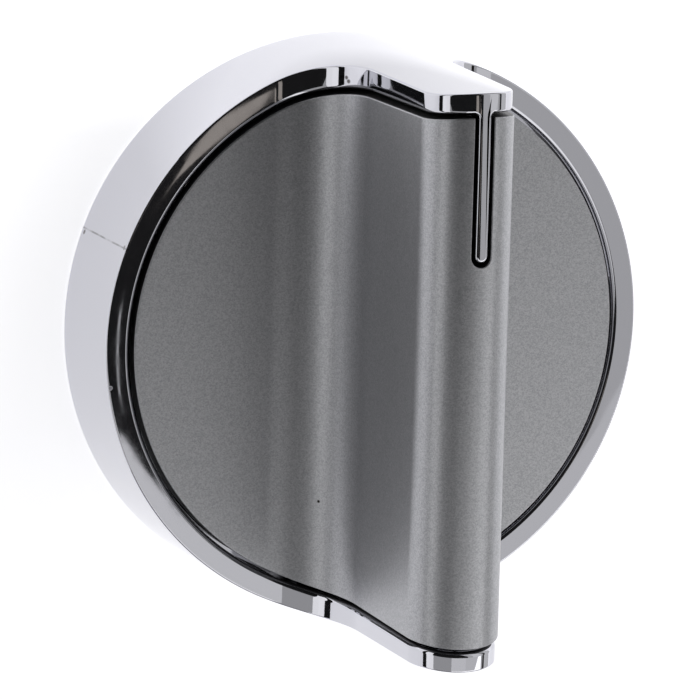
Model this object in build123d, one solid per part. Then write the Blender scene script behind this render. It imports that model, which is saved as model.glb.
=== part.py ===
"""Push-on control knob for a cooking range, as an assembly of four pieces.

The knob lies on its open back with the stem axis along Z. Its pointer shows towards +Y and the
grip runs along Y. All sizes are in millimetres.
"""

import os
from math import cos, radians, tan

from build123d import *

# Skirt and rim of the chrome shell
SKIRT_RADIUS = 28.0
SKIRT_WALL = 2.2
RIM_HEIGHT = 12.0
RIM_WIDTH = 2.25
RIM_OUTER_CHAMFER = 0.3
RIM_INNER_CHAMFER = 0.3
POCKET_DRAFT = 1.07
WEB_THICKNESS = 1.6
CAVITY_CHAMFER = 0.8
BACK_EDGE_CHAMFER = 0.4

# Wave of the face across the grip, seen along the grip
GRIP_HEIGHT = 36.5
GRIP_LEFT = 4.75
GRIP_RIGHT = 4.4
GRIP_RIGHT_LEAN = 2.5
CREST_FLAT = 0.2
FACE_RISE = 2.5
LEFT_FOOT_RADIUS = 7.0
RIGHT_FOOT_RADIUS = 7.0

# Grey cover in the pocket of the shell
COVER_WALL = 2.0
COVER_GAP = 0.45
COVER_SUNK = 0.15
COVER_EDGE_CHAMFER = 0.25

# Pointer fin of the shell and its slot in the cover
POINTER_WIDTH = 1.1
POINTER_END = 11.8
POINTER_DEPTH = 3.2
POINTER_ROOT_FILLET = 0.4
POINTER_GAP = 0.48

# Posts of the cover, riveted over behind the core
POST_COUNT = 4
POST_RADIUS = 1.6
POST_EDGE_DISTANCE = 7.0
POST_CLEARANCE = 0.2
POST_HEAD_RADIUS = 2.6
POST_HEAD_HEIGHT = 1.1

# Black core with the hub for the stem
FLANGE_THICKNESS = 1.8
FLANGE_CLEARANCE = 0.4
HUB_RADIUS = 6.4
HUB_BACK = 0.6
HUB_CLEARANCE = 0.3
HUB_SLOT_WIDTH = 1.0
HUB_SLOT_DEPTH = 4.4
GUSSET_COUNT = 4
GUSSET_THICKNESS = 1.2
GUSSET_REACH = 14.0
GUSSET_GAP = 0.4

# Stem of the appliance, round with one flat, and its bore
STEM_RADIUS = 3.0
STEM_FLAT = 1.6
STEM_CLEARANCE = 0.05
LEAD_IN_STEP = 0.25
LEAD_IN_DEPTH = 2.0
BORE_END_WALL = 0.8

# Split band of spring steel in the groove of the hub
RING_THICKNESS = 0.7
RING_WIDTH = 2.2
RING_INSET = 0.5
RING_PROUD = 0.3
RING_OPENING = 50.0

# Radii and levels that follow from the sizes above
POCKET_RADIUS = SKIRT_RADIUS - RIM_WIDTH
COVER_RADIUS = POCKET_RADIUS - COVER_GAP
CAVITY_RADIUS = SKIRT_RADIUS - SKIRT_WALL
FLANGE_RADIUS = CAVITY_RADIUS - CAVITY_CHAMFER - FLANGE_CLEARANCE
POST_CIRCLE = COVER_RADIUS - POST_EDGE_DISTANCE
BORE_RADIUS = STEM_RADIUS + STEM_CLEARANCE
BORE_FLAT = STEM_FLAT + STEM_CLEARANCE
RING_SEAT = HUB_RADIUS + RING_PROUD - RING_THICKNESS
RING_LOW = HUB_BACK + RING_INSET
RING_HIGH = RING_LOW + RING_WIDTH
WEB_TOP = RIM_HEIGHT - COVER_SUNK - COVER_WALL
WEB_BOTTOM = WEB_TOP - WEB_THICKNESS
FLANGE_BOTTOM = WEB_BOTTOM - FLANGE_THICKNESS
HUB_TOP = WEB_TOP - HUB_CLEARANCE
FULL_HEIGHT = GRIP_HEIGHT + RIM_HEIGHT
BEYOND = SKIRT_RADIUS + GRIP_HEIGHT
ON_AXIS = (Align.CENTER, Align.CENTER, Align.MIN)


def wave_section(inset):
    """Section across the grip, moved inwards by inset and closed far below the knob."""
    lean = radians(GRIP_RIGHT_LEAN)
    rise = radians(FACE_RISE)
    crest_radius = (GRIP_LEFT + GRIP_RIGHT - CREST_FLAT) / (1 + tan(radians(45) - lean / 2))

    def left_face(x):
        return RIM_HEIGHT + (x + SKIRT_RADIUS) * tan(rise) - inset / cos(rise)

    def right_side(z):
        return GRIP_RIGHT + (GRIP_HEIGHT - z) * tan(lean) - inset / cos(lean)

    left = inset - GRIP_LEFT
    crest = GRIP_HEIGHT - inset
    right_face = RIM_HEIGHT - inset
    corners = [
        (-BEYOND, left_face(-BEYOND)),
        (left, left_face(left)),
        (left, crest),
        (right_side(crest), crest),
        (right_side(right_face), right_face),
        (BEYOND, right_face),
    ]
    radii = [
        LEFT_FOOT_RADIUS + inset,
        crest_radius - inset,
        crest_radius - inset,
        RIGHT_FOOT_RADIUS + inset,
    ]
    wave = FilletPolyline(*corners, radius=radii)
    closing = Polyline(corners[-1], (BEYOND, -BEYOND), (-BEYOND, -BEYOND), corners[0])
    return make_face(Plane.XZ * (wave + closing))


def wave_block(inset=0.0):
    """The section drawn out along the grip, wider than the knob all round."""
    return extrude(wave_section(inset), amount=BEYOND, both=True)


def disc(radius, low, high):
    """Round solid on the stem axis between two levels."""
    return Pos(0, 0, low) * Cylinder(radius, high - low, align=ON_AXIS)


def pocket_plug(radius):
    """Plug with the draft of the pocket and the given radius at the height of the rim."""
    growth = tan(radians(POCKET_DRAFT))
    bottom = radius - RIM_HEIGHT * growth
    return Cone(bottom, bottom + FULL_HEIGHT * growth, FULL_HEIGHT, align=ON_AXIS)


def pointer_prism(gap=0.0):
    """Upright prism of the pointer line, from its round inner end out past the rim."""
    start = POINTER_END + POINTER_WIDTH / 2
    run = BEYOND - start
    line = SlotCenterToCenter(run, POINTER_WIDTH + 2 * gap, rotation=90)
    level = GRIP_HEIGHT - POINTER_DEPTH - gap
    return Pos(0, start + run / 2, level) * extrude(line, amount=FULL_HEIGHT)


def post_places():
    """Places of the posts, between the grip and the sides."""
    return PolarLocations(POST_CIRCLE, POST_COUNT, start_angle=180 / POST_COUNT)


def post_holes(low, high):
    """Clearance holes for the posts through one wall."""
    return [place * disc(POST_RADIUS + POST_CLEARANCE, low, high) for place in post_places()]


def pocket_cutter():
    """Room for the cover: the drafted pocket round the pointer fin, with its root rounded."""
    room = pocket_plug(POCKET_RADIUS) - disc(BEYOND, 0, WEB_TOP)
    fin = pointer_prism()
    cutter = room - fin
    root = [edge for edge in new_edges(room, fin, combined=cutter) if abs((edge % 0.5).Z) > 0.9]
    return fillet(root, POINTER_ROOT_FILLET)


def chrome_shell():
    """Plated shell: skirt, wave-shaped rim, pocket floor, grip ends and pointer fin."""
    block = wave_block()
    barrel = disc(SKIRT_RADIUS, 0, FULL_HEIGHT)
    barrel = chamfer(barrel.edges().group_by(Axis.Z)[0], BACK_EDGE_CHAMFER)
    body = block & barrel
    body = chamfer(new_edges(block, barrel, combined=body), RIM_OUTER_CHAMFER)
    cutter = pocket_cutter()
    shell = body - cutter
    shell = chamfer(new_edges(body, cutter, combined=shell), RIM_INNER_CHAMFER)
    cavity = disc(CAVITY_RADIUS, 0, WEB_BOTTOM)
    cavity = chamfer(cavity.edges().group_by(Axis.Z)[-1], CAVITY_CHAMFER)
    shell = shell - cavity - disc(HUB_RADIUS + HUB_CLEARANCE, WEB_BOTTOM, WEB_TOP)
    return shell - post_holes(WEB_BOTTOM, WEB_TOP)


def riveted_post():
    """Post on the stem axis with its domed head behind the flange, as tall as the knob."""
    dome_radius = (POST_HEAD_RADIUS**2 + POST_HEAD_HEIGHT**2) / (2 * POST_HEAD_HEIGHT)
    low = FLANGE_BOTTOM - POST_HEAD_HEIGHT
    dome = Pos(0, 0, low + dome_radius) * Sphere(dome_radius) & disc(BEYOND, low, FLANGE_BOTTOM)
    return dome + disc(POST_RADIUS, FLANGE_BOTTOM, FULL_HEIGHT)


def grip_cover():
    """Grey cover: an even wall that follows the wave, with pointer slot and riveted posts."""
    block = wave_block(COVER_SUNK)
    plug = pocket_plug(COVER_RADIUS)
    body = block & plug
    body = chamfer(new_edges(block, plug, combined=body), COVER_EDGE_CHAMFER)
    cover = body - wave_block(COVER_SUNK + COVER_WALL) - pointer_prism(POINTER_GAP)
    inside = wave_block(COVER_SUNK + COVER_WALL / 2)
    return cover + [place * riveted_post() & inside for place in post_places()]


def gusset():
    """Triangular stiffener between the hub and the flange, on the +X side."""
    foot = RING_HIGH + GUSSET_GAP
    inner = (BORE_RADIUS + HUB_RADIUS) / 2
    outline = Polyline((inner, foot), (GUSSET_REACH, FLANGE_BOTTOM), (inner, FLANGE_BOTTOM), close=True)
    return extrude(make_face(Plane.XZ * outline), amount=GUSSET_THICKNESS / 2, both=True)


def stem_bore():
    """D-shaped bore for the stem, with a round lead-in at its mouth."""
    bore = disc(BORE_RADIUS, HUB_BACK, HUB_TOP - BORE_END_WALL)
    key = Box(4 * BORE_RADIUS, 2 * BORE_RADIUS, FULL_HEIGHT, align=(Align.CENTER, Align.MIN, Align.MIN))
    lead_in = disc(BORE_RADIUS + LEAD_IN_STEP, HUB_BACK, HUB_BACK + LEAD_IN_DEPTH)
    return bore - Pos(0, BORE_FLAT, 0) * key + lead_in


def hub_core():
    """Black core: flange under the pocket floor, split hub with bore and groove, and gussets."""
    core = disc(FLANGE_RADIUS, FLANGE_BOTTOM, WEB_BOTTOM) + disc(HUB_RADIUS, HUB_BACK, HUB_TOP)
    diagonals = PolarLocations(0, GUSSET_COUNT, start_angle=180 / GUSSET_COUNT)
    core = core + [place * gusset() for place in diagonals]
    groove = disc(BEYOND, RING_LOW, RING_HIGH) - disc(RING_SEAT, RING_LOW, RING_HIGH)
    split = Box(2 * HUB_RADIUS, HUB_SLOT_WIDTH, HUB_SLOT_DEPTH, align=ON_AXIS)
    core = core - groove - stem_bore() - Pos(0, 0, HUB_BACK) * split
    return core - post_holes(FLANGE_BOTTOM, WEB_BOTTOM)


def spring_ring():
    """Split band of spring steel round the hub, open towards -Y."""
    middle = RING_SEAT + RING_THICKNESS / 2
    strip = Plane.XZ * Pos(middle, (RING_LOW + RING_HIGH) / 2) * Rectangle(RING_THICKNESS, RING_WIDTH)
    band = revolve(strip, axis=Axis.Z, revolution_arc=360 - RING_OPENING)
    return Rot(0, 0, RING_OPENING / 2 - 90) * band


NODES = {
    "chrome_shell": chrome_shell,
    "grip_cover": grip_cover,
    "hub_core": hub_core,
    "spring_ring": spring_ring,
}

os.makedirs("parts", exist_ok=True)
for name, make in NODES.items():
    export_step(make(), f"parts/{name}.step")
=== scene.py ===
"""Studio scene of a push-on control knob: plated shell, painted grip cover, hub core and spring ring.

All sizes in the classes are in millimetres and become metres when a mesh is made.
"""
import logging
from dataclasses import dataclass, field
from enum import Enum
from math import acos, asin, atan2, copysign, cos, degrees, pi, radians, sin, sqrt, tan
from typing import Callable, Iterator, Optional, Sequence

import bmesh
import bpy
from bpy.types import ID, Material, Node, NodeSocket, NodeTree, Object
from mathutils import Matrix, Vector


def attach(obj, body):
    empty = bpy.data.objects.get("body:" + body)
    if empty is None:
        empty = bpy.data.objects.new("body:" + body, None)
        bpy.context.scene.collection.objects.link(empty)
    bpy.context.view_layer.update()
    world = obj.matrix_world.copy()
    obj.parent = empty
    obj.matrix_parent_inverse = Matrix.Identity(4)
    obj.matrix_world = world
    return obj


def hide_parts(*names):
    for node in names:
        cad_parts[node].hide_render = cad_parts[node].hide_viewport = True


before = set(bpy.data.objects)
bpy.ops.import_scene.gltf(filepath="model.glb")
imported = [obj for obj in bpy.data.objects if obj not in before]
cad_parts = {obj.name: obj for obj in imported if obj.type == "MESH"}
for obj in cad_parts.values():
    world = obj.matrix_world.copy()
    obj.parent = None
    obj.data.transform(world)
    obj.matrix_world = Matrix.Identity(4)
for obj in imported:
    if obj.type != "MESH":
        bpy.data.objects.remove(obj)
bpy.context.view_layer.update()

LOG = logging.getLogger("knob")
MM = 0.001
BODY = "root"
UP = Vector((0.0, 0.0, 1.0))
SAME_WAY = 1e-6  # Vectors at a smaller angle, in radians, count as one direction

Corner = tuple[Vector, Vector]
Row = list[Corner]


class Slot(Enum):
    """Material slots of the record."""

    CHROME = "plated_chrome"
    PAINT = "grey_paint"
    BLACK = "black_plastic"
    STEEL = "spring_steel"


class Side(Enum):
    """Half of the knob, along the grip: towards the pointer or away from it."""

    POINTER = 1
    TAIL = -1


# Node and mesh helpers


def linear(code: str) -> tuple[float, float, float, float]:
    """Turns an sRGB hex colour into linear RGBA.

    Args:
        code: Colour as "#rrggbb".

    Returns:
        Linear red, green, blue and an alpha of 1.
    """
    values = [int(code[i:i + 2], 16) / 255 for i in (1, 3, 5)]
    parts = [v / 12.92 if v <= 0.04045 else ((v + 0.055) / 1.055) ** 2.4 for v in values]
    return parts[0], parts[1], parts[2], 1.0


def add(tree: NodeTree, kind: str, inputs: Optional[dict] = None,
        **settings: object) -> Node:
    """Adds one node with its settings, values and links.

    Args:
        tree: Tree that gets the node.
        kind: Blender's name of the node type.
        inputs: Socket name or number to a value, to an output socket to link from, or to a node, which
            stands for its first output in use.
        **settings: Properties of the node.

    Returns:
        The new node.
    """
    made = tree.nodes.new(kind)
    for key, value in settings.items():
        setattr(made, key, value)
    for key, value in (inputs or {}).items():
        if isinstance(value, Node):
            value = next(socket for socket in value.outputs if socket.enabled)
        if isinstance(value, NodeSocket):
            tree.links.new(value, made.inputs[key])
        else:
            made.inputs[key].default_value = value
    return made


def blank_material(name: str) -> Material:
    """Makes a material with an empty node tree.

    Args:
        name: Name of the material.

    Returns:
        The material.
    """
    material = bpy.data.materials.new(name)
    material.use_nodes = True
    material.node_tree.nodes.clear()
    return material


def link_object(name: str, data: ID) -> Object:
    """Adds an object to the scene, at the origin.

    Args:
        name: Name of the object.
        data: Its mesh, light or camera.

    Returns:
        The object.
    """
    made = bpy.data.objects.new(name, data)
    bpy.context.scene.collection.objects.link(made)
    return made


def level_way(angle: float) -> Vector:
    """Level unit vector at an angle in radians round the axis."""
    return Vector((cos(angle), sin(angle), 0.0))


def outward(point: Vector) -> Vector:
    """Level unit vector from the axis towards a point."""
    return Vector((point.x, point.y, 0.0)).normalized()


def mirrored(path: Sequence[Corner]) -> list[Corner]:
    """The way back along a path on the other side of the pointer, without the path's last place."""
    return [(Vector((-p.x, p.y, 0.0)), Vector((-m.x, m.y, 0.0))) for p, m in path[-2::-1]]


def turned(start: Vector, end: Vector, share: float) -> Vector:
    """Finds the unit vector between two unit vectors.

    Args:
        start: First unit vector.
        end: Last unit vector.
        share: Share of the angle between them.

    Returns:
        The unit vector at that share.
    """
    angle = start.angle(end)
    if angle < SAME_WAY:
        return start.copy()
    return (start * sin((1 - share) * angle) + end * sin(share * angle)) / sin(angle)


class MeshDraft:
    """Faces gathered in millimetres, each corner with the true normal of its surface."""

    GRID = 2e4  # Points that agree to 1 / GRID of a millimetre are one
    NO_AREA = 1e-9

    def __init__(self) -> None:
        """Starts with no faces."""
        self.places: dict[tuple[int, ...], int] = {}
        self.points: list[Vector] = []
        self.faces: list[list[int]] = []
        self.normals: list[list[Vector]] = []
        self.finishes: list[int] = []
        self.finish = 0

    def face(self, corners: Sequence[Corner]) -> None:
        """Adds a face and turns it to the side that its normals show; a face with no area is left out.

        Args:
            corners: Points with normals, in order round the face.
        """
        ids: list[int] = []
        normals: list[Vector] = []
        for point, normal in corners:
            key = tuple(round(value * self.GRID) for value in point)
            place = self.places.setdefault(key, len(self.points))
            if place == len(self.points):
                self.points.append(point)
            if place not in ids:
                ids.append(place)
                normals.append(normal)
        if len(ids) < 3:
            return
        area = Vector()
        for first, second in zip(ids, ids[1:] + ids[:1]):
            area += self.points[first].cross(self.points[second])
        if area.length < self.NO_AREA:
            return
        if area.dot(sum(normals, Vector())) < 0:
            ids.reverse()
            normals.reverse()
        self.faces.append(ids)
        self.normals.append(normals)
        self.finishes.append(self.finish)

    def strip(self, first: Row, second: Row) -> None:
        """Joins two closed rows of equal length by four-sided faces.

        Args:
            first: Corners of one row.
            second: Corners of the other row.
        """
        count = len(first)
        for i in range(count):
            j = (i + 1) % count
            self.face([first[i], first[j], second[j], second[i]])

    def skin(self, rows: Sequence[Row]) -> None:
        """Joins closed rows of equal length, each to the next one."""
        for first, second in zip(rows, rows[1:]):
            self.strip(first, second)

    def piece(self, name: str, *materials: Material) -> Object:
        """Makes the mesh object in metres, smooth, with its corner normals.

        Args:
            name: Name of the new object.
            *materials: Its finishes, in the order that the faces count them.

        Returns:
            The object, at the origin.
        """
        mesh = bpy.data.meshes.new(name)
        mesh.from_pydata([p * MM for p in self.points], [], self.faces)
        for material in materials:
            mesh.materials.append(material)
        mesh.polygons.foreach_set("material_index", self.finishes)
        mesh.polygons.foreach_set("use_smooth", [True] * len(mesh.polygons))
        mesh.normals_split_custom_set([n for normals in self.normals for n in normals])
        return link_object(name, mesh)


def settle(piece: Object, slot: Slot, *nodes: str) -> None:
    """Lets a piece ride on the knob, in place of solids, and logs it.

    Args:
        piece: The finished object.
        slot: Material slot of the piece; not used.
        *nodes: Solids that the piece stands for.
    """
    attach(piece, BODY)
    if nodes:
        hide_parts(*nodes)
    LOG.info("%s: %d faces", piece.name, len(piece.data.polygons))


# Finishes


@dataclass(frozen=True)
class Mark:
    """Small round mark of use on a surface.

    Attributes:
        place: Middle of the mark in millimetres.
        radius: Its radius in millimetres.
        cover: Share of the finish that it hides.
    """

    place: tuple[float, float, float]
    radius: float
    cover: float = 1.0


def marked(tree: NodeTree, place: NodeSocket,
           marks: Sequence[Mark]) -> Node:
    """Adds the nodes for a few small marks.

    Args:
        tree: Tree of the finish.
        place: Object coordinates.
        marks: The marks.

    Returns:
        Node that gives the cover of each mark inside it and 0 elsewhere.
    """
    mask: Optional[Node] = None
    for mark in marks:
        away = add(tree, "ShaderNodeVectorMath", {0: place, 1: Vector(mark.place) * MM}, operation="DISTANCE")
        spot = add(tree, "ShaderNodeMapRange", {
            "Value": away, "From Min": mark.radius / 2 * MM, "From Max": mark.radius * MM,
            "To Min": mark.cover, "To Max": 0.0})
        mask = spot if mask is None else add(
            tree, "ShaderNodeMath", {0: mask, 1: spot}, operation="MAXIMUM")
    return mask


@dataclass(frozen=True)
class PlatedChrome:
    """Bright chrome electroplate on moulded ABS: a blue-white mirror with the faint waves of the moulding.

    It has a fine broken dark line up the skirt, a painted reflection of an edge on the table beside it, and
    the
    marks of the real one: dirt on the rim at the foot of the grip and a nick in the rim's edge.
    """

    colour: str = "#cacad0"
    dirt_and_reflection_colour: str = "#4b4644"
    roughness: float = 0.04
    wave_mm: float = 9.0
    haze_mm: float = 1.6
    line_azimuth: float = 159.5
    line_half_mm: float = 0.13
    line_reach_mm: float = 27.7
    dirt: tuple[Mark, ...] = (
        Mark((-5.85, 26.30, 15.50), 0.20, 0.7), Mark((-5.52, 26.29, 15.97), 0.24, 0.9),
        Mark((-5.40, 25.95, 16.20), 0.26, 0.9), Mark((-5.80, 25.80, 15.60), 0.16, 0.6),
        Mark((-26.35, 9.45, 1.00), 0.30, 0.8), Mark((-26.20, 9.85, 11.30), 0.30, 0.6))
    nick: tuple[Mark, ...] = (Mark((-27.50, -3.75, 11.72), 0.24),)

    def material(self) -> Material:
        """Builds the finish.

        Returns:
            The material.
        """
        made = blank_material("chrome_plated_abs")
        tree = made.node_tree
        place = add(tree, "ShaderNodeTexCoord").outputs["Object"]
        wave = add(tree, "ShaderNodeTexNoise", {
            "Vector": place, "Scale": 1 / (self.wave_mm * MM), "Detail": 1.0})
        haze = add(tree, "ShaderNodeTexNoise", {
            "Vector": place, "Scale": 1 / (self.haze_mm * MM), "Detail": 4.0})
        rough = add(tree, "ShaderNodeMapRange", {
            "Value": haze, "From Min": 0.35, "From Max": 0.75,
            "To Min": self.roughness * 0.7, "To Max": self.roughness * 1.5})
        bump = add(tree, "ShaderNodeBump", {"Height": wave, "Strength": 0.04, "Distance": 0.4 * MM})
        # The line up the skirt is painted reflection: a dark line where the plating mirrors an edge on the
        # table
        line = self.line(tree, place, haze)
        dirt = marked(tree, place, self.dirt)
        dirt_and_painted_reflection = add(tree, "ShaderNodeMath", {0: line, 1: dirt}, operation="MAXIMUM")
        # The painted reflection and the dirt share one dark colour
        colour = add(tree, "ShaderNodeMix", {
            "Factor": dirt_and_painted_reflection, "A": linear(self.colour), "B": linear(self.dirt_and_reflection_colour)},
            data_type="RGBA")
        torn = add(tree, "ShaderNodeMath", {
            0: marked(tree, place, self.nick), 1: rough}, operation="MAXIMUM")
        shader = add(tree, "ShaderNodeBsdfPrincipled", {
            "Base Color": colour, "Metallic": 1.0, "Roughness": torn,
            "Normal": bump})
        add(tree, "ShaderNodeOutputMaterial", {"Surface": shader})
        return made

    def line(self, tree: NodeTree, place: NodeSocket,
             breaks: Node) -> Node:
        """Adds the nodes for the fine dark line up the skirt, a painted reflection of an edge on the table.

        Args:
            tree: Tree of the finish.
            place: Object coordinates.
            breaks: Noise that breaks the line.

        Returns:
            Node that gives more than 0 on the line only.
        """
        angle = radians(self.line_azimuth)
        along = level_way(angle + pi / 2)
        side = add(tree, "ShaderNodeVectorMath", {0: place, 1: along}, operation="DOT_PRODUCT")
        off = add(tree, "ShaderNodeMath", {0: side}, operation="ABSOLUTE")
        fine = add(tree, "ShaderNodeMapRange", {
            "Value": off, "From Min": 0.0, "From Max": self.line_half_mm * MM,
            "To Min": 1.0, "To Max": 0.0})
        reach = add(tree, "ShaderNodeVectorMath", {0: place, 1: level_way(angle)}, operation="DOT_PRODUCT")
        outside = add(tree, "ShaderNodeMath", {
            0: reach, 1: self.line_reach_mm * MM}, operation="GREATER_THAN")
        broken = add(tree, "ShaderNodeMapRange", {
            "Value": breaks, "From Min": 0.35, "From Max": 0.6, "To Min": 0.15, "To Max": 0.75})
        shown = add(tree, "ShaderNodeMath", {0: fine, 1: broken}, operation="MULTIPLY")
        return add(tree, "ShaderNodeMath", {0: shown, 1: outside}, operation="MULTIPLY")


@dataclass(frozen=True)
class FlakePaint:
    """Satin metallic paint, sprayed: aluminium flakes give a soft metal sheen with a fine bright grain.

    Two specks of dirt lie on it, as on the real one.
    """

    colour: str = "#9b9c9f"
    flake_colour: str = "#b6b6b9"
    speck_colour: str = "#2a2624"
    specks: tuple[Mark, ...] = (
        Mark((-6.75, -15.66, 14.73), 0.19), Mark((24.32, 3.08, 11.92), 0.17, 0.35))
    metallic: float = 0.9
    roughness: float = 0.38
    flake_mm: float = 0.11
    cloud_mm: float = 0.35
    peel_mm: float = 1.1

    def material(self) -> Material:
        """Builds the finish. The flakes are drawn coarser than real ones, so that their grain shows.

        Returns:
            The material.
        """
        made = blank_material("satin_metallic_paint")
        tree = made.node_tree
        place = add(tree, "ShaderNodeTexCoord").outputs["Object"]
        flakes = add(tree, "ShaderNodeTexVoronoi", {
            "Vector": place, "Scale": 1 / (self.flake_mm * MM), "Randomness": 1.0}, feature="F1")
        cloud = add(tree, "ShaderNodeTexNoise", {
            "Vector": place, "Scale": 1 / (self.cloud_mm * MM), "Detail": 3.0})
        peel = add(tree, "ShaderNodeTexNoise", {
            "Vector": place, "Scale": 1 / (self.peel_mm * MM), "Detail": 2.0})
        grain = add(tree, "ShaderNodeSeparateColor", {"Color": flakes.outputs["Color"]})
        mixed = add(tree, "ShaderNodeMath", {
            0: cloud, 1: 0.25, 2: grain.outputs["Red"]}, operation="MULTIPLY_ADD")
        share = add(tree, "ShaderNodeMapRange", {"Value": mixed, "From Min": 0.1, "From Max": 1.1})
        clean = add(tree, "ShaderNodeMix", {
            "Factor": share, "A": linear(self.colour), "B": linear(self.flake_colour)},
            data_type="RGBA")
        colour = add(tree, "ShaderNodeMix", {
            "Factor": marked(tree, place, self.specks), "A": clean,
            "B": linear(self.speck_colour)}, data_type="RGBA")
        rough = add(tree, "ShaderNodeMapRange", {
            "Value": grain.outputs["Green"],
            "To Min": self.roughness - 0.05, "To Max": self.roughness + 0.05})
        tilt = add(tree, "ShaderNodeBump", {
            "Height": grain.outputs["Blue"], "Strength": 0.05, "Distance": 0.04 * MM})
        bump = add(tree, "ShaderNodeBump", {
            "Height": peel, "Strength": 0.05, "Distance": 0.06 * MM,
            "Normal": tilt})
        shader = add(tree, "ShaderNodeBsdfPrincipled", {
            "Base Color": colour, "Metallic": self.metallic,
            "Roughness": rough, "Normal": bump})
        add(tree, "ShaderNodeOutputMaterial", {"Surface": shader})
        return made


@dataclass(frozen=True)
class FilledPlastic:
    """Glass-filled black plastic, as moulded: dull and slightly mottled where fibres lie near the skin."""

    name: str = "glass_filled_black_plastic"
    colour: str = "#1b1b1d"
    fibre_colour: str = "#2b2b2d"
    roughness: float = 0.52
    mottle_mm: float = 1.4
    grit_mm: float = 0.25

    def material(self) -> Material:
        """Builds the finish.

        Returns:
            The material.
        """
        made = blank_material(self.name)
        tree = made.node_tree
        place = add(tree, "ShaderNodeTexCoord").outputs["Object"]
        mottle = add(tree, "ShaderNodeTexNoise", {
            "Vector": place, "Scale": 1 / (self.mottle_mm * MM), "Detail": 5.0, "Roughness": 0.6})
        grit = add(tree, "ShaderNodeTexNoise", {
            "Vector": place, "Scale": 1 / (self.grit_mm * MM), "Detail": 3.0})
        share = add(tree, "ShaderNodeMapRange", {"Value": mottle, "From Min": 0.4, "From Max": 0.7})
        colour = add(tree, "ShaderNodeMix", {
            "Factor": share, "A": linear(self.colour), "B": linear(self.fibre_colour)},
            data_type="RGBA")
        rough = add(tree, "ShaderNodeMapRange", {
            "Value": mottle,
            "To Min": self.roughness - 0.12, "To Max": self.roughness + 0.12})
        bump = add(tree, "ShaderNodeBump", {"Height": grit, "Strength": 0.15, "Distance": 0.05 * MM})
        shader = add(tree, "ShaderNodeBsdfPrincipled", {
            "Base Color": colour, "Roughness": rough, "IOR": 1.55,
            "Normal": bump})
        add(tree, "ShaderNodeOutputMaterial", {"Surface": shader})
        return made


@dataclass(frozen=True)
class SpringSteel:
    """Bright rolled strip of spring steel: a warm grey metal with fine lines along the strip."""

    colour: str = "#b9b8b5"
    roughness: float = 0.28
    line_mm: float = 0.12
    line_length_mm: float = 25.0

    def material(self) -> Material:
        """Builds the finish. The rolling lines run round the band, as rings stacked along its axis.

        Returns:
            The material.
        """
        made = blank_material("rolled_spring_steel")
        tree = made.node_tree
        place = add(tree, "ShaderNodeTexCoord").outputs["Object"]
        along, across = 1 / (self.line_length_mm * MM), 1 / (self.line_mm * MM)
        scale = add(tree, "ShaderNodeMapping", {"Vector": place, "Scale": (along, along, across)})
        lines = add(tree, "ShaderNodeTexNoise", {"Vector": scale, "Scale": 1.0, "Detail": 3.0})
        rough = add(tree, "ShaderNodeMapRange", {
            "Value": lines, "To Min": self.roughness - 0.1, "To Max": self.roughness + 0.12})
        bump = add(tree, "ShaderNodeBump", {"Height": lines, "Strength": 0.12, "Distance": 0.03 * MM})
        shader = add(tree, "ShaderNodeBsdfPrincipled", {
            "Base Color": linear(self.colour), "Metallic": 1.0, "Roughness": rough,
            "Normal": bump})
        add(tree, "ShaderNodeOutputMaterial", {"Surface": shader})
        return made


@dataclass(frozen=True)
class TableWhite:
    """White acrylic table, lit from below as well: almost pure white, with a weak shadow.

    It glows more in a band behind the knob and less before it, and it is clear when seen from below.
    """

    colour: str = "#efeff2"
    glow: float = 0.78
    glow_behind: float = 0.26
    glow_before: float = -0.12
    glow_tint: tuple[float, float, float, float] = (0.985, 0.985, 1.0, 1.0)
    before_mm: float = -10.0
    even_mm: float = 19.0
    band_mm: tuple[float, float] = (27.0, 30.0)
    band_end_mm: float = 33.0

    def material(self) -> Material:
        """Builds the finish.

        Returns:
            The material.
        """
        made = blank_material("white_acrylic_table")
        tree = made.node_tree
        place = add(tree, "ShaderNodeTexCoord").outputs["Object"]
        along = add(tree, "ShaderNodeSeparateXYZ", {"Vector": place}).outputs["Y"]
        rise = add(tree, "ShaderNodeMapRange", {
            "Value": along, "From Min": self.even_mm * MM, "From Max": self.band_mm[0] * MM,
            "To Min": 0.0, "To Max": self.glow_behind})
        fall = add(tree, "ShaderNodeMapRange", {
            "Value": along, "From Min": self.band_mm[1] * MM, "From Max": self.band_end_mm * MM,
            "To Min": self.glow_behind, "To Max": 0.0})
        behind = add(tree, "ShaderNodeMath", {0: rise, 1: fall}, operation="MINIMUM")
        before = add(tree, "ShaderNodeMapRange", {
            "Value": along, "From Min": self.before_mm * MM, "From Max": self.even_mm * MM,
            "To Min": self.glow + self.glow_before, "To Max": self.glow})
        strength = add(tree, "ShaderNodeMath", {0: behind, 1: before})
        face = add(tree, "ShaderNodeBsdfDiffuse", {"Color": linear(self.colour)})
        glow = add(tree, "ShaderNodeEmission", {"Color": self.glow_tint, "Strength": strength})
        both = add(tree, "ShaderNodeAddShader", {0: face, 1: glow})
        clear = add(tree, "ShaderNodeBsdfTransparent")
        below = add(tree, "ShaderNodeNewGeometry").outputs["Backfacing"]
        shown = add(tree, "ShaderNodeMixShader", {0: below, 1: both, 2: clear})
        add(tree, "ShaderNodeOutputMaterial", {"Surface": shown})
        return made


@dataclass(frozen=True)
class BlackCloth:
    """Matt black cloth of the tent: the plating shows it as dark."""

    colour: str = "#202020"

    def material(self) -> Material:
        """Builds the finish.

        Returns:
            The material.
        """
        made = blank_material("black_cloth")
        tree = made.node_tree
        face = add(tree, "ShaderNodeBsdfDiffuse", {"Color": linear(self.colour)})
        add(tree, "ShaderNodeOutputMaterial", {"Surface": face})
        return made


# Wave of the face


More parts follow.
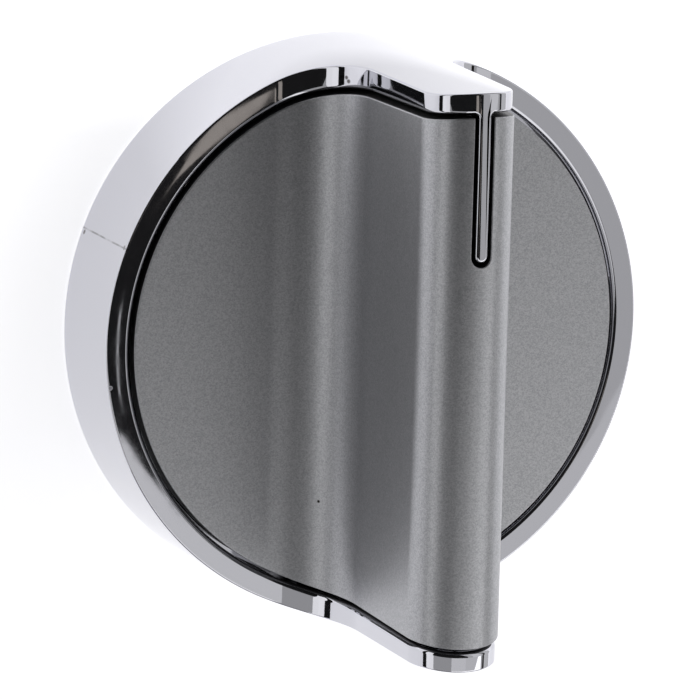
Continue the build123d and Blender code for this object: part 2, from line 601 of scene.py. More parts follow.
@dataclass(frozen=True)
class WavePoint:
    """Point of the section across the grip, with the normal that leaves the knob there."""

    x: float
    z: float
    nx: float
    nz: float

    def inset(self, depth: float) -> tuple[float, float]:
        """Place below the point, at a depth along its normal."""
        return self.x - depth * self.nx, self.z - depth * self.nz

    def normal(self) -> Vector:
        """Normal as a vector across the grip."""
        return Vector((self.nx, 0.0, self.nz))


@dataclass(frozen=True)
class Wave:
    """Section across the grip: rising left face, foot, grip with a round crest, foot and right face."""

    reach: float = 28.0
    rim_height: float = 12.0
    grip_height: float = 36.5
    left: float = 4.75
    right: float = 4.4
    left_lean: float = 0.1
    right_lean: float = 2.5
    crest_flat: float = 0.2
    rise: float = 2.5
    foot: float = 7.0
    foot_steps: int = 28
    side_steps: int = 7
    crest_steps: int = 26
    rounds: int = 20

    @property
    def crest(self) -> float:
        """Radius of the crest."""
        slope = tan(radians(45 - self.right_lean / 2))
        return (self.left + self.right - self.crest_flat) / (1 + slope)

    @property
    def crest_left(self) -> float:
        """Place of the centre of the crest's left arc."""
        return self.crest * tan(radians(45 - self.left_lean / 2)) - self.left

    @property
    def crest_right(self) -> float:
        """Place of the centre of the crest's right arc."""
        return self.right - self.crest * tan(radians(45 - self.right_lean / 2))

    def left_face(self, x: float, depth: float) -> WavePoint:
        """Finds a point of the left face.

        Args:
            x: Place across the grip that the point has at the depth.
            depth: Depth along the normal.

        Returns:
            The point on the face.
        """
        slope = radians(self.rise)
        x0 = x - depth * sin(slope)
        z0 = self.rim_height + (x0 + self.reach) * tan(slope)
        return WavePoint(x0, z0, -sin(slope), cos(slope))

    def right_face(self, x: float) -> WavePoint:
        """Point of the right face."""
        return WavePoint(x, self.rim_height, 0.0, 1.0)

    def arc(self, centre: tuple[float, float], radius: float, start: float, end: float,
            steps: int) -> list[WavePoint]:
        """Points along an arc of the section.

        Args:
            centre: Its x and z.
            radius: Positive for a round edge, negative for a hollow.
            start: First angle of the normal, in degrees from straight up, positive to the right.
            end: Last angle of the normal.
            steps: Number of steps.

        Returns:
            The points with both ends.
        """
        made = []
        for i in range(steps + 1):
            angle = radians(start + (end - start) * i / steps)
            nx, nz = sin(angle), cos(angle)
            made.append(WavePoint(centre[0] + radius * nx, centre[1] + radius * nz, nx, nz))
        return made

    def left_foot(self) -> list[WavePoint]:
        """Finds the hollow between the left face and the grip.

        Returns:
            Its points, from the face to the grip.
        """
        lean, slope = radians(self.left_lean), radians(self.rise)
        # The centre keeps the foot's radius from the side and from the face: each round brings it nearer
        rise_run = tan(slope)
        x = -self.left
        for _ in range(self.rounds):
            z = self.rim_height + (x + self.reach) * rise_run + self.foot / cos(slope)
            x = -self.left - (self.foot + (self.grip_height - z) * sin(lean)) / cos(lean)
        return self.arc((x, z), -self.foot, -self.rise, self.left_lean - 90, self.foot_steps)

    def right_foot(self) -> list[WavePoint]:
        """Finds the hollow between the grip and the right face.

        Returns:
            Its points, from the grip to the face.
        """
        lean = radians(self.right_lean)
        z = self.rim_height + self.foot
        x = self.right + (self.foot + (self.grip_height - z) * sin(lean)) / cos(lean)
        return self.arc((x, z), -self.foot, 90 - self.right_lean, 0, self.foot_steps)

    def crest_at(self, x: float, depth: float) -> WavePoint:
        """Finds a point of the crest.

        Args:
            x: Place across the grip that the point has at the depth.
            depth: Depth along the normal.

        Returns:
            The point on the crest.
        """
        centre = min(max(x, self.crest_left), self.crest_right)
        nx = (x - centre) / (self.crest - depth)
        nz = sqrt(1 - nx * nx)
        level = self.grip_height - self.crest
        return WavePoint(centre + self.crest * nx, level + self.crest * nz, nx, nz)

    def grip(self, x: float, depth: float, left: bool) -> list[WavePoint]:
        """Follows one side of the grip and its part of the crest.

        Args:
            x: Place across the grip where the part of the crest ends.
            depth: Depth that this place is meant at.
            left: Whether this is the left side.

        Returns:
            The points from left to right.
        """
        level = self.grip_height - self.crest
        top = degrees(asin(self.crest_at(x, depth).nx))
        if left:
            crest = self.arc((self.crest_left, level), self.crest, self.left_lean - 90, top, self.crest_steps)
            return self.between(self.left_foot()[-1], crest[0]) + crest
        crest = self.arc((self.crest_right, level), self.crest, top, 90 - self.right_lean, self.crest_steps)
        return crest + self.between(crest[-1], self.right_foot()[0])

    def between(self, start: WavePoint, end: WavePoint) -> list[WavePoint]:
        """Divides a straight run of the section.

        Args:
            start: First end, which is left out.
            end: Last end, which is left out and gives the normal.

        Returns:
            The points between.
        """
        made = []
        for i in range(1, self.side_steps):
            t = i / self.side_steps
            made.append(WavePoint(
                start.x + (end.x - start.x) * t, start.z + (end.z - start.z) * t, end.nx, end.nz))
        return made


# Edges that follow the wave


@dataclass(frozen=True)
class EdgeStation:
    """Place of the ball that rolls along an edge and rounds it.

    The ball touches the face along the wave's normal and the wall along the level normal.
    """

    centre: Vector
    face: Vector
    wall: Vector
    radius: float

    def corner(self, share: float, tilt: float = 0.0) -> Corner:
        """Point and normal of the rounding, from the face at 0 to the wall at 1.

        Args:
            share: Share of the way from the face to the wall.
            tilt: Angle in radians by which the rounding starts late, leaning to the wall.

        Returns:
            The point and its normal.
        """
        start = turned(self.face, self.wall, tilt / max(self.face.angle(self.wall), SAME_WAY))
        normal = turned(start, self.wall, share)
        return self.centre + self.radius * normal, normal


def crest_station(wave: Wave, place: Vector, wall: Vector, depth: float, rounding: float) -> EdgeStation:
    """Sets a station of an edge that crosses the crest.

    Args:
        wave: Section of the knob.
        place: Place of the station in plan.
        wall: Level normal of the wall there.
        depth: Depth of the edge's face below the wave.
        rounding: Radius of the edge.

    Returns:
        The station.
    """
    point = wave.crest_at(place.x, depth + rounding)
    z = point.inset(depth + rounding)[1]
    return EdgeStation(Vector((place.x, place.y, z)), point.normal(), wall, rounding)


@dataclass(frozen=True)
class WaveEdge:
    """Round edge that follows the wave along a circle, with the draft of the pocket."""

    wave: Wave
    radius: float
    depth: float
    rounding: Callable[[float], float]
    void_outside: bool
    draft: float = 0.0
    flat_steps: int = 72
    rounds: int = 3

    def reach(self, z: float) -> float:
        """Radius of the wall at a height."""
        return self.radius + (z - self.wave.rim_height) * tan(radians(self.draft))

    def on(self, point: WavePoint, side: Side) -> EdgeStation:
        """Sets a station on the circle.

        Args:
            point: Point of the wave that the station lies below.
            side: Half of the knob.

        Returns:
            The station.
        """
        rounding = self.rounding(point.x)
        x, z = point.inset(self.depth + rounding)
        span = self.reach(z) - rounding if self.void_outside else self.reach(z) + rounding
        y = side.value * sqrt(max(span * span - x * x, 0.0))
        wall = Vector((x, y, 0.0)).normalized()
        return EdgeStation(Vector((x, y, z)), point.normal(), wall if self.void_outside else -wall, rounding)

    def flat(self, foot: WavePoint, left: bool) -> Iterator[WavePoint]:
        """Points of a flat face from the far end to just before the foot, evenly spaced round the knob.

        Args:
            foot: Start of the hollow beside the grip.
            left: Whether this is the left face.

        Yields:
            Points of the face.
        """
        rounding = self.rounding(foot.x)
        depth = self.depth + rounding
        x, z = foot.inset(depth)
        grown = -rounding if self.void_outside else rounding
        last = acos(min(1.0, abs(x) / (self.reach(z) + grown)))
        for i in range(self.flat_steps):
            place = cos(last * i / self.flat_steps)
            height = self.wave.rim_height - depth
            for _ in range(self.rounds):
                x = (self.reach(height) + grown) * place
                point = self.wave.left_face(-x, depth) if left else self.wave.right_face(x)
                height = point.inset(depth)[1]
            yield point

    def run(self, x: float, depth: float, left: bool) -> list[WavePoint]:
        """Follows the wave between one end of the knob and a place on the crest.

        Args:
            x: Place across the grip where the run ends on the crest.
            depth: Depth that this place is meant at.
            left: Whether this is the left run.

        Returns:
            The points from left to right.
        """
        grip = self.wave.grip(x, depth, left)
        if left:
            foot = self.wave.left_foot()
            return list(self.flat(foot[0], True)) + foot + grip
        foot = self.wave.right_foot()
        return grip + foot + list(self.flat(foot[-1], False))[::-1]


# Plated shell


@dataclass
class ChromeShell:
    """Plated shell: skirt, rim that follows the wave, pocket and pointer fin, one closed skin."""

    wave: Wave
    finish: PlatedChrome
    skirt: float = 27.995
    wall: float = 2.2
    rim_width: float = 2.4
    draft: float = 1.07
    outer_rounding: float = 0.2
    lip_rounding: float = 0.5
    fin_rounding: float = 0.3
    crown: float = 0.8
    sink: float = 0.3
    fin_sink: float = 0.01
    floor: float = 9.85
    web: float = 1.6
    cavity_chamfer: float = 0.8
    back_rounding: float = 0.4
    hub_hole: float = 6.7
    fin_half: float = 0.64
    fin_end: float = 11.8
    fin_depth: float = 3.2
    fin_root: float = 0.4
    fin_blend: float = 4.0
    edge_band: float = 1.5
    rounding_steps: int = 9
    band_steps: int = 8
    root_steps: int = 10
    fin_steps: int = 8
    tip_steps: int = 6
    fin_rise_steps: int = 12
    crown_fade_steps: int = 6
    tail_steps: int = 6
    back_steps: int = 6

    def outer_edge(self) -> WaveEdge:
        """Edge between the skirt and the rim."""
        return WaveEdge(self.wave, self.skirt, self.sink, lambda x: self.outer_rounding, True)

    def lip_edge(self, side: Side) -> WaveEdge:
        """Edge between the rim and the pocket, finer beside the pointer."""
        rounding = self.near_fin if side is Side.POINTER else lambda x: self.lip_rounding
        return WaveEdge(self.wave, self.skirt - self.rim_width, self.sink, rounding, False, self.draft)

    def near_fin(self, x: float) -> float:
        """Radius of the lip, finer towards the fin."""
        share = min(1.0, max(0.0, (abs(x) - self.fin_half - 2 * self.fin_root) / self.fin_blend))
        return self.fin_rounding + (self.lip_rounding - self.fin_rounding) * share

    def root_arc(self, lip: WaveEdge) -> tuple[Vector, float]:
        """Finds the rounded root left of the fin.

        Args:
            lip: Edge of the pocket.

        Returns:
            Its centre in plan, and the angle where it leaves the pocket's circle.
        """
        reach = lip.reach(self.wave.grip_height) - self.fin_root
        x = -(self.fin_half + self.fin_root)
        centre = Vector((x, sqrt(reach * reach - x * x), 0.0))
        return centre, atan2(centre.y, centre.x)

    def fin_half_path(self, lip: WaveEdge) -> list[Corner]:
        """Path of the edge's ball along the left half of the fin, in plan.

        Args:
            lip: Edge of the pocket.

        Returns:
            Places with level normals, from the pocket's circle to the tip.
        """
        path = []
        centre, start = self.root_arc(lip)
        span = self.fin_root + self.fin_rounding
        for i in range(self.root_steps + 1):
            out = level_way(start * (1 - i / self.root_steps))
            path.append((centre + span * out, -out))
        tip = self.fin_end + self.fin_half
        inner = self.fin_half - self.fin_rounding
        for i in range(1, self.fin_steps + 1):
            y = centre.y + (tip - centre.y) * i / self.fin_steps
            path.append((Vector((-inner, y, 0.0)), Vector((-1.0, 0.0, 0.0))))
        for i in range(1, self.tip_steps + 1):
            out = level_way(radians(180 + 90 * i / self.tip_steps))
            path.append((Vector((0.0, tip, 0.0)) + inner * out, out))
        return path

    def fin_stations(self, lip: WaveEdge) -> list[EdgeStation]:
        """Follows the edge round the fin.

        Args:
            lip: Edge of the pocket.

        Returns:
            Stations from the fin's left root to its right root.
        """
        left = self.fin_half_path(lip)
        path = left + mirrored(left)
        levels = [self.fin_level(i, len(path)) for i in range(len(path))]
        return [crest_station(self.wave, place, wall, level, self.fin_rounding)
                for (place, wall), level in zip(path, levels)]

    def fin_level(self, i: int, count: int) -> float:
        """Depth of the fin's top at a station: it rises from the rim to the level of the cover."""
        share = min(1.0, min(i, count - 1 - i) / self.fin_rise_steps)
        return self.sink + (self.fin_sink - self.sink) * share

    def loops(self) -> tuple[list[EdgeStation], list[EdgeStation], list[float]]:
        """Follows the rim's two edges all round.

        Returns:
            Stations of the outer edge and of the lip, and the share of the crown at each.
        """
        outer = self.outer_edge()
        fin = self.fin_stations(self.lip_edge(Side.POINTER))
        root = fin[0].centre.x
        whole: tuple[list, list, list] = ([], [], [])
        for side in Side:
            lip = self.lip_edge(side)
            depth = self.sink + lip.rounding(root)
            steps = len(fin) - 1 if side is Side.POINTER else self.tail_steps
            middle = [self.wave.crest_at(root - 2 * root * i / steps, depth) for i in range(1, steps)]
            halves = []
            for edge in (outer, lip):
                left, right = edge.run(root, depth, True), edge.run(-root, depth, False)
                halves.append([edge.on(point, side) for point in left + middle + right])
            halves.append([1.0] * len(halves[0]))
            if side is Side.POINTER:
                along_fin = slice(len(left), len(left) + len(middle))
                fade = [min(i, steps - i) / self.crown_fade_steps for i in range(1, steps)]
                halves[1][along_fin] = fin[1:-1]
                halves[2][along_fin] = [max(0.0, 1 - share) for share in fade]
            for made, half in zip(whole, halves):
                made += half if side is Side.POINTER else half[-2:0:-1]
        return whole

    def band(self, outer: EdgeStation, lip: EdgeStation, crown: float, t: float) -> Corner:
        """Point of the crowned rim between its two edges.

        Args:
            outer: Station of the outer edge.
            lip: Station of the lip.
            crown: Share of the full crown.
            t: Share of the way from the outer edge to the lip, where the rim runs on along the fin if it has
                less than its full crown.

        Returns:
            The point and its normal.
        """
        tilt = radians(self.crown) * crown
        start, end = outer.corner(0.0, tilt)[0], lip.corner(0.0, tilt)[0]
        point = start.lerp(end, t)
        normal = outer.face.lerp(lip.face, t).normalized()
        if crown < 1.0:
            depth = self.sink + (self.fin_sink - self.sink) * (1 - crown) * t
            spot = self.wave.crest_at(point.x, depth)
            point.z = spot.inset(depth)[1]
            normal = spot.normal()
        across = end - start
        width = across.length
        across = (across - normal * across.dot(normal)).normalized()
        # The crown is a parabola that has the tilt at both edges
        lift = width * tan(tilt) / 4 * (1 - (2 * t - 1) ** 2)
        lean = tan(tilt) * (2 * t - 1)
        return point + normal * lift, (normal + across * lean).normalized()

    def build(self) -> Object:
        """Builds the skin, from the lip down to the pocket, round the back and up the skirt.

        Returns:
            The dressed shell.
        """
        draft = MeshDraft()
        outer, lip, crown = self.loops()
        count = len(outer)
        tilts = [radians(self.crown) * share for share in crown]

        rows: list[Row] = []
        for i in range(self.rounding_steps + 1):
            rows.append([o.corner(1 - i / self.rounding_steps, t) for o, t in zip(outer, tilts)])
        for i in range(1, self.band_steps):
            rows.append([self.band(outer[k], lip[k], crown[k], i / self.band_steps) for k in range(count)])
        for i in range(self.rounding_steps + 1):
            rows.append([s.corner(i / self.rounding_steps, t) for s, t in zip(lip, tilts)])
        draft.skin(rows)

        self.pocket(draft, rows[-1], lip, outer)
        self.back(draft, rows[0])
        return draft.piece("shell_skin", self.finish.material())

    def pocket(self, draft: MeshDraft, top: Row, lip: Sequence[EdgeStation],
               outer: Sequence[EdgeStation]) -> None:
        """Adds the pocket's wall, the fin's underside and the pocket's floor.

        Args:
            draft: Mesh that gets the faces.
            top: Last row of the lip.
            lip: Stations of the lip.
            outer: Stations of the outer edge, for the directions round the axis.
        """
        edge = self.lip_edge(Side.TAIL)
        height = self.wave.grip_height
        share = (height - self.fin_depth - self.floor) / (height - self.floor)
        below, under, rim, foot = [], [], [], []
        for corner, station, out in zip(top, lip, outer):
            level = self.floor + (station.centre.z + station.radius - self.floor) * share
            away = outward(out.centre)
            side = Vector((corner[0].x, corner[0].y, level))
            below.append((side, station.wall))
            under.append((side, -UP))
            rim.append((away * edge.reach(level) + UP * level, -UP))
            foot.append((away * edge.reach(self.floor) + UP * self.floor, -away))
        draft.strip(top, below)
        draft.strip(under, rim)
        draft.strip([(p, -outward(p)) for p, _ in rim], foot)
        hole = [(outward(p) * self.hub_hole + UP * self.floor, UP) for p, _ in foot]
        draft.strip([(p, UP) for p, _ in foot], hole)

    def back(self, draft: MeshDraft, top: Row) -> None:
        """Adds the skirt's wall, its back edge, the cavity and the web's underside.

        Args:
            draft: Mesh that gets the faces.
            top: First row of the outer edge.
        """
        ways = [outward(p) for p, _ in top]

        def ring(radius: float, z: float, slope: Callable[[Vector], Vector]) -> Row:
            """Level row round the axis, with normals that depend on the way out."""
            return [(way * radius + UP * z, slope(way)) for way in ways]

        low = ring(self.skirt, self.wave.rim_height - self.edge_band, lambda w: w)
        draft.strip(top, low)
        last = ring(self.skirt, self.back_rounding, lambda w: w)
        draft.strip(low, last)
        for i in range(1, self.back_steps + 1):
            angle = radians(90 * i / self.back_steps)
            radius = self.skirt - self.back_rounding * (1 - cos(angle))
            z = self.back_rounding * (1 - sin(angle))
            row = ring(radius, z, lambda w: w * cos(angle) - UP * sin(angle))
            draft.strip(last, row)
            last = row
        cavity = self.skirt - self.wall
        ceiling = self.floor - self.web
        below, inside = ceiling - self.cavity_chamfer, cavity - self.cavity_chamfer
        steep = sqrt(0.5)
        levels = [
            (self.skirt - self.back_rounding, 0.0, cavity, 0.0, lambda w: -UP),
            (cavity, 0.0, cavity, below, lambda w: -w),
            (cavity, below, inside, ceiling, lambda w: -(w + UP) * steep),
            (inside, ceiling, self.hub_hole, ceiling, lambda w: -UP),
            (self.hub_hole, ceiling, self.hub_hole, self.floor, lambda w: -w),
        ]
        for r0, z0, r1, z1, slope in levels:
            draft.strip(ring(r0, z0, slope), ring(r1, z1, slope))


# Painted cover


@dataclass
class GripCover:
    """Painted cover in the pocket: an even wall that follows the wave, with the slot round the pointer."""

    wave: Wave
    finish: FlakePaint
    substrate: FilledPlastic
    radius: float = 25.24
    draft: float = 1.07
    sunk: float = 0.08
    wall: float = 2.0
    edge_rounding: float = 0.14
    slot_rounding: float = 0.1
    slot_half: float = 1.0
    slot_end: float = 12.35
    slot_blend: float = 2.5
    level_nx: float = 0.1
    near: float = 1e-3
    rounding_steps: int = 6
    painted_steps: int = 5
    mouth_steps: int = 6
    end_steps: int = 14

    def rounding(self, x: float) -> float:
        """Radius of the edge, finer beside the slot."""
        share = min(1.0, max(0.0, (abs(x) - self.slot_half - self.slot_rounding) / self.slot_blend))
        return self.slot_rounding + (self.edge_rounding - self.slot_rounding) * share

    def even(self, x: float) -> float:
        """Radius of the edge away from the slot."""
        return self.edge_rounding

    def slot_stations(self, edge: WaveEdge) -> list[EdgeStation]:
        """Follows the edge round the slot.

        Args:
            edge: Edge of the cover on the pointer's side.

        Returns:
            Stations from the slot's left mouth to its right mouth.
        """
        span = self.slot_half + self.slot_rounding
        depth = self.sunk + self.slot_rounding
        mouth = edge.on(self.wave.crest_at(-span, depth), Side.POINTER)
        level = Vector((1.0, 0.0, 0.0))
        shares = [i / self.mouth_steps for i in range(self.mouth_steps + 1)]
        path = [(mouth.centre, turned(mouth.wall, level, share)) for share in shares]
        for i in range(self.end_steps + 1):
            out = level_way(radians(180 + 90 * i / self.end_steps))
            path.append((Vector((0.0, self.slot_end, 0.0)) + span * out, -out))
        path += mirrored(path)
        return [crest_station(self.wave, place, wall, self.sunk, self.slot_rounding) for place, wall in path]

    def skirt_row(self, stations: Sequence[EdgeStation], points: Sequence[WavePoint], edge: WaveEdge) -> Row:
        """Lower edge of the wall below a row of stations.

        Args:
            stations: Stations of the edge.
            points: Points of the wave at the stations.
            edge: Edge of the cover, for its draft.

        Returns:
            Corners of the lower edge.
        """
        made = []
        for station, point in zip(stations, points):
            x, z = point.inset(self.sunk + self.wall)
            place = station.centre + station.radius * station.wall
            off = abs(Vector((place.x, place.y)).length - edge.reach(station.centre.z))
            if off >= self.near:
                place = Vector((place.x, place.y, z))
            elif abs(point.nx) < self.level_nx:
                place = station.wall * edge.reach(z) + UP * z
            else:
                y = sqrt(max(edge.reach(z) ** 2 - x * x, 0))
                place = Vector((x, copysign(y, place.y), z))
            made.append((place, station.wall))
        return made

    def build(self) -> Object:
        """Builds the cover's skin.

        Returns:
            The dressed cover.
        """
        draft = MeshDraft()
        edge = WaveEdge(self.wave, self.radius, self.sunk, self.rounding, True, self.draft)
        tail = WaveEdge(self.wave, self.radius, self.sunk, self.even, True, self.draft)
        span = self.slot_half + self.slot_rounding
        depth = self.sunk + self.slot_rounding
        left, right = edge.run(-span, depth, True), edge.run(span, depth, False)
        slot = self.slot_stations(edge)
        slot_points = [self.wave.crest_at(s.centre.x, depth) for s in slot]
        mouth = self.mouth_steps + 1
        tip_points = slot_points[mouth:-mouth]

        upper = [edge.on(p, Side.POINTER) for p in left] + slot + [edge.on(p, Side.POINTER) for p in right]
        lower_points = left + tip_points[1:-1] + right
        lower = [tail.on(p, Side.TAIL) for p in lower_points]
        loop = upper + lower[-2:0:-1]
        points = left + slot_points + right + lower_points[-2:0:-1]
        counts = len(left), len(tip_points), len(right), len(upper)

        rows = [[s.corner(i / self.rounding_steps) for s in loop] for i in range(self.rounding_steps + 1)]
        rows.append(self.skirt_row(loop, points, edge))
        self.sheet(draft, rows[0], *counts)
        # The last step of the rounding, the wall and the underside take the black finish, so the gap round
        # the cover is dark
        for i, (first, second) in enumerate(zip(rows, rows[1:])):
            draft.finish = int(i >= self.painted_steps)
            draft.strip(first, second)
        flipped = [(p, -q.normal()) for (p, _), q in zip(rows[-1], points)]
        self.sheet(draft, flipped, *counts)
        return draft.piece("cover_skin", self.finish.material(), self.substrate.material())

    def sheet(self, draft: MeshDraft, loop: Row, left: int, tip: int, right: int, upper: int) -> None:
        """Adds the face of the cover inside a row of its edge, in strips across the knob.

        Args:
            draft: Mesh that gets the faces.
            loop: Corners all round, from the left end past the slot to the right end and back.
            left: Number of corners left of the slot.
            tip: Number of corners round the slot's end.
            right: Number of corners right of the slot.
            upper: Number of corners on the pointer's side.
        """
        top_left, top_right = loop[:left], loop[upper - right:upper]
        start = left + self.mouth_steps + 1
        top_tip = loop[start:start + tip]
        bottom = [loop[0]] + loop[:upper - 2:-1]
        low_left = bottom[:left]
        low_tip = bottom[left - 1:left - 1 + tip]
        low_right = bottom[left + tip - 2:]
        for i in range(left - 1):
            extra = [top_tip[0]] if i == left - 2 else []
            draft.face([low_left[i], low_left[i + 1], *extra, top_left[i + 1], top_left[i]])
        for i in range(tip - 1):
            draft.face([low_tip[i], low_tip[i + 1], top_tip[i + 1], top_tip[i]])
        for i in range(right - 1):
            extra = [top_tip[-1]] if i == 0 else []
            draft.face([low_right[i + 1], low_right[i], *extra, top_right[i], top_right[i + 1]])


# Back of the knob


@dataclass
class RivetHeads:
    """Ends of the cover's posts, melted to domes behind the core."""

    finish: FilledPlastic
    count: int = 4
    circle: float = 18.3
    radius: float = 2.6
    height: float = 1.1
    base: float = 6.45
    dimple: float = 0.7
    dimple_depth: float = 0.18
    dimple_lean: float = 0.5
    steps: int = 40
    dome_steps: int = 12

    def head(self) -> Object:
        """Builds one dome on the axis, with the shallow dimple that the hot tool leaves.

        Returns:
            The head.
        """
        draft = MeshDraft()
        ball = (self.radius ** 2 + self.height ** 2) / (2 * self.height)
        last = asin(self.radius / ball)
        rows: list[Row] = []
        for i in range(self.dome_steps + 1):
            angle = last * (1 - i / self.dome_steps)
            spread = ball * sin(angle)
            sunk = self.dimple_depth * max(0.0, 1 - (spread / self.dimple) ** 2) ** 2
            lean = angle
            if spread <= self.dimple:
                lean -= self.dimple_lean * sin(pi * spread / self.dimple)
            level = self.base - (ball * cos(angle) - ball * cos(last) - sunk)
            row = []
            for k in range(self.steps):
                way = level_way(2 * pi * k / self.steps)
                row.append((way * spread + UP * level, (way * sin(lean) - UP * cos(lean)).normalized()))
            rows.append(row)
        draft.skin(rows)
        return draft.piece("rivet_heads", self.finish.material())

    def tree(self, material: Material) -> NodeTree:
        """Builds the nodes that set one head at each place of a circle.

        Args:
            material: Finish of the heads.

        Returns:
            The tree, with inputs for the head, the count, the circle and its turn.
        """
        tree = bpy.data.node_groups.new("heads_on_circle", "GeometryNodeTree")
        for name, kind in (("Head", "Geometry"), ("Count", "Int"), ("Circle", "Float"), ("Turn", "Vector")):
            tree.interface.new_socket(name, in_out="INPUT", socket_type="NodeSocket" + kind)
        tree.interface.new_socket("Heads", in_out="OUTPUT", socket_type="NodeSocketGeometry")
        given = add(tree, "NodeGroupInput").outputs
        ring = add(tree, "GeometryNodeMeshCircle", {"Vertices": given["Count"], "Radius": given["Circle"]})
        turned_ring = add(tree, "GeometryNodeTransform", {"Geometry": ring, "Rotation": given["Turn"]})
        heads = add(tree, "GeometryNodeInstanceOnPoints", {
            "Points": turned_ring, "Instance": given["Head"]})
        real = add(tree, "GeometryNodeRealizeInstances", {"Geometry": heads})
        dressed = add(tree, "GeometryNodeSetMaterial", {"Geometry": real, "Material": material})
        add(tree, "NodeGroupOutput", {"Heads": dressed})
        return tree

    def build(self) -> Object:
        """Sets the heads round the hub.

        Returns:
            One plain mesh with all heads.
        """
        made = self.head()
        tree = self.tree(made.data.materials[0])
        modifier = made.modifiers.new("heads", "NODES")
        modifier.node_group = tree
        values = {"Count": self.count, "Circle": self.circle * MM, "Turn": (0.0, 0.0, pi / self.count)}
        for socket in tree.interface.items_tree:
            if socket.in_out == "INPUT" and socket.name in values:
                modifier[socket.identifier] = values[socket.name]
        graph = bpy.context.evaluated_depsgraph_get()
        mesh = bpy.data.meshes.new_from_object(made.evaluated_get(graph))
        made.modifiers.clear()
        made.data = mesh
        return made


@dataclass
class SpringRing:
    """Split band of spring steel round the hub, open away from the pointer."""

    finish: SpringSteel
    inner: float = 6.0
    outer: float = 6.7
    low: float = 1.1
    high: float = 3.3
    rounding: float = 0.12
    opening: float = 50.0
    steps: int = 96
    corner_steps: int = 4

    def section(self) -> list[tuple[float, float, float, float]]:
        """Follows the strip's section, with its rounded corners.

        Returns:
            Radius, height and the two parts of the normal at each point.
        """
        made = []
        inset = self.rounding
        centres = [(self.outer - inset, self.high - inset), (self.inner + inset, self.high - inset),
                   (self.inner + inset, self.low + inset), (self.outer - inset, self.low + inset)]
        for quarter, (r, z) in enumerate(centres):
            for i in range(self.corner_steps + 1):
                angle = radians(90 * quarter + 90 * i / self.corner_steps)
                nr, nz = cos(angle), sin(angle)
                made.append((r + inset * nr, z + inset * nz, nr, nz))
        return made

    def build(self) -> Object:
        """Bends the strip round the hub and closes its two ends.

        Returns:
            The dressed band.
        """
        draft = MeshDraft()
        section = self.section()
        rows: list[Row] = []
        for k in range(self.steps + 1):
            angle = radians(self.opening / 2 - 90 + (360 - self.opening) * k / self.steps)
            way = level_way(angle)
            rows.append([(way * r + UP * z, way * nr + UP * nz) for r, z, nr, nz in section])
        draft.skin(rows)
        for row, other in ((rows[0], rows[1]), (rows[-1], rows[-2])):
            end = (row[0][0] - other[0][0]).normalized()
            draft.face([(p, end) for p, _ in row])
        return draft.piece("spring_band", self.finish.material())


@dataclass
class HubCore:
    """Black core behind the shell: the solid's own form, with its edges eased as a mould eases them."""

    finish: FilledPlastic
    edge: float = 0.16
    edge_segments: int = 2
    sharp: float = 32.0
    merge: float = 1e-4
    flat: float = 0.4

    def build(self) -> Object:
        """Merges a copy of the solid's mesh and eases its edges.

        Returns:
            The dressed core.
        """
        work = bmesh.new()
        work.from_mesh(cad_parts["hub_core"].data)
        bmesh.ops.remove_doubles(work, verts=work.verts, dist=self.merge * MM)
        bmesh.ops.dissolve_limit(
            work, angle_limit=radians(self.flat), verts=work.verts, edges=work.edges, delimit={"NORMAL"})
        mesh = bpy.data.meshes.new("core_body")
        work.to_mesh(mesh)
        work.free()
        mesh.polygons.foreach_set("use_smooth", [True] * len(mesh.polygons))
        mesh.materials.clear()
        mesh.materials.append(self.finish.material())
        made = link_object("core_body", mesh)
        bevel = made.modifiers.new("eased", "BEVEL")
        bevel.width = self.edge * MM
        bevel.segments = self.edge_segments
        bevel.limit_method = "ANGLE"
        bevel.angle_limit = radians(self.sharp)
        bevel.harden_normals = True
        return made


# Studio


@dataclass(frozen=True)
class Card:
    """Soft light with an even glow: a white sheet of the tent round the table.

    Attributes:
        name: Name of the light.
        centre: Place of its middle in millimetres.
        size: Width and height in millimetres.
        facing: Direction that it shines in.
        glow: Brightness that a mirror shows, where 1 is white.
        colour: Tint of the sheet.
    """

    name: str
    centre: tuple[float, float, float]
    size: tuple[float, float]
    facing: tuple[float, float, float]
    glow: float
    colour: str = "#ffffff"

    def hang(self) -> None:
        """Adds the light to the scene, unseen by the camera."""
        data = bpy.data.lights.new(self.name, "AREA")
        data.shape = "RECTANGLE"
        data.size, data.size_y = self.size[0] * MM, self.size[1] * MM
        data.energy = self.glow * pi * data.size * data.size_y
        data.color = linear(self.colour)[:3]
        made = link_object(self.name, data)
        made.location = Vector(self.centre) * MM
        made.rotation_mode = "QUATERNION"
        made.rotation_quaternion = Vector(self.facing).to_track_quat("-Z", "Y")
        made.visible_camera = False


